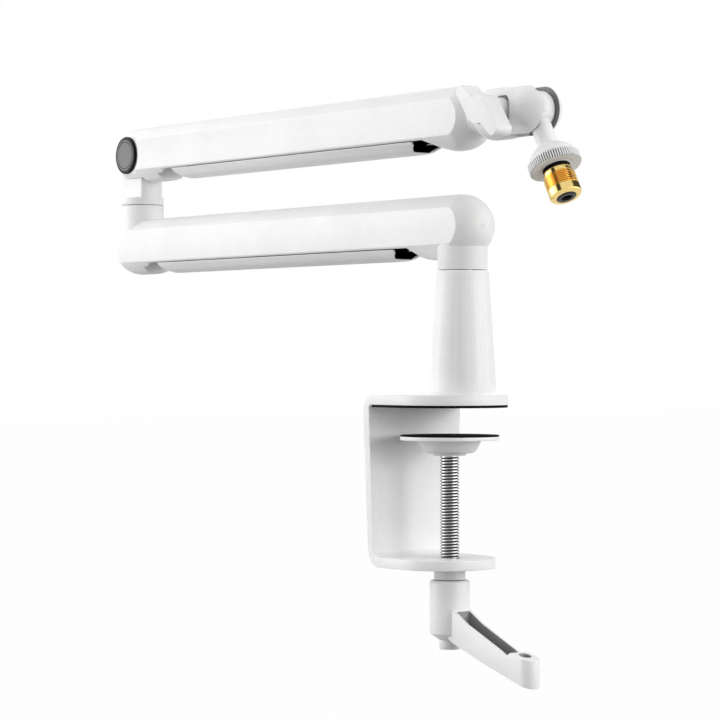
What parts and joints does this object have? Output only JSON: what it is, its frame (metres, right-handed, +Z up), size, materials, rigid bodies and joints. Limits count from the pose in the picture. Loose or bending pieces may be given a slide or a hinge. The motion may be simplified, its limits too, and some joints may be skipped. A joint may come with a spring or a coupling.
{
  "type": "microphone boom arm",
  "caption": "White low profile microphone boom arm with a desk clamp, folding arms with cable channels, a lever locked tilting head and a brass microphone thread",
  "frame": {"origin": "on the vertical axis of the riser, at the underside of the upper jaw pad, which rests on the desk top", "axes": "+X along the folded arms from the elbow towards the microphone, -Y towards the side with the locking lever, +Z up"},
  "size_m": [0.4073, 0.059, 0.2959],
  "materials": {
    "white_paint": "fine satin powder coat",
    "grey_paint": "satin paint",
    "black_rubber": "matt",
    "bright_steel": "bright zinc",
    "black_steel": "black oxide",
    "black_gloss": "gloss",
    "grey_plastic": "matt",
    "bronze": "plain bearing bronze",
    "brass": "bright turned brass"
  },
  "bodies": {
    "clamp": {"clamp_bracket": "white_paint", "jaw_pad": "black_rubber", "riser_post": "white_paint", "riser_bolts": "bright_steel", "riser_bush": "bronze", "nut_boss": "grey_paint"},
    "foot": {"pressure_disc": "white_paint", "pressure_pad": "black_rubber", "swivel_cup": "grey_paint", "cup_washer": "grey_paint"},
    "screw": {"clamp_screw": "bright_steel", "clamp_handle": "white_paint", "screw_stub": "grey_paint"},
    "lower_arm": {"lower_arm_shell": "white_paint", "shoulder_shaft": "bright_steel", "shoulder_grub": "black_steel", "elbow_bush": "bronze", "elbow_grub": "black_steel"},
    "lower_cover": {"lower_cable_cover": "white_paint"},
    "yoke": {"elbow_yoke": "white_paint", "elbow_shaft": "bright_steel"},
    "upper_arm": {"upper_arm_shell": "white_paint", "hinge_bolt": "bright_steel", "hinge_nut": "bright_steel", "hinge_washers": "black_steel", "hinge_spring": "bright_steel", "near_cap_ring": "black_gloss", "near_cap_face": "grey_plastic", "far_cap_ring": "black_gloss", "far_cap_face": "grey_plastic", "head_bush": "bronze"},
    "upper_cover": {"upper_cable_cover": "white_paint"},
    "head": {"head_barrel": "white_paint", "head_shaft": "bright_steel", "head_clip": "black_steel", "tilt_pin": "bright_steel", "bolt_nut": "bright_steel"},
    "lever": {"wing_lever": "white_paint", "tilt_bolt": "bright_steel"},
    "stem": {"tilt_stem": "white_paint", "mic_stud": "black_steel", "thread_washer": "black_rubber"},
    "ring": {"knurled_ring": "white_paint"},
    "adapter": {"thread_adapter": "brass"}
  },
  "joints": [
    {"name": "clamp_feed", "type": "slide", "parent": "clamp", "child": "foot", "axis": [0, 0, 1], "range_m": [-0.048, 0]},
    {"name": "clamp_turn", "type": "hinge", "parent": "foot", "child": "screw", "pos_m": [-0.0104, 0, -0.04], "axis": [0, 0, 1], "continuous": true},
    {"name": "base_swivel", "type": "hinge", "parent": "clamp", "child": "lower_arm", "pos_m": [0, 0, 0.06845], "axis": [0, 0, 1], "continuous": true},
    {"name": "lower_cover_off", "type": "slide", "parent": "lower_arm", "child": "lower_cover", "axis": [0, 0, -1], "range_m": [0, 0.03]},
    {"name": "elbow_swivel", "type": "hinge", "parent": "lower_arm", "child": "yoke", "pos_m": [-0.305, 0, 0.11505], "axis": [0, 0, 1], "range_deg": [-170, 170]},
    {"name": "elbow_pitch", "type": "hinge", "parent": "yoke", "child": "upper_arm", "pos_m": [-0.305, 0, 0.14455], "axis": [0, -1, 0], "range_deg": [-3, 85]},
    {"name": "upper_cover_off", "type": "slide", "parent": "upper_arm", "child": "upper_cover", "axis": [0, 0, -1], "range_m": [0, 0.015]},
    {"name": "head_roll", "type": "hinge", "parent": "upper_arm", "child": "head", "pos_m": [0, 0, 0.14455], "axis": [1, 0, 0], "range_deg": [-170, 170]},
    {"name": "lever_turn", "type": "hinge", "parent": "head", "child": "lever", "pos_m": [0.0444, -0.02, 0.14455], "axis": [0, -1, 0], "range_deg": [-90, 90]},
    {"name": "head_tilt", "type": "hinge", "parent": "head", "child": "stem", "pos_m": [0.0566, 0, 0.14455], "axis": [0, -1, 0], "range_deg": [-48, 60]},
    {"name": "ring_turn", "type": "hinge", "parent": "stem", "child": "ring", "pos_m": [0.07101, 0, 0.11744], "axis": [0.4695, 0, -0.8829], "continuous": true},
    {"name": "adapter_turn", "type": "hinge", "parent": "stem", "child": "adapter", "pos_m": [0.07571, 0, 0.10861], "axis": [0.4695, 0, -0.8829], "continuous": true}
  ],
  "couplings": [
    {"joint": "clamp_turn", "follows": "clamp_feed", "rad_per_m": 4188.8}
  ]
}
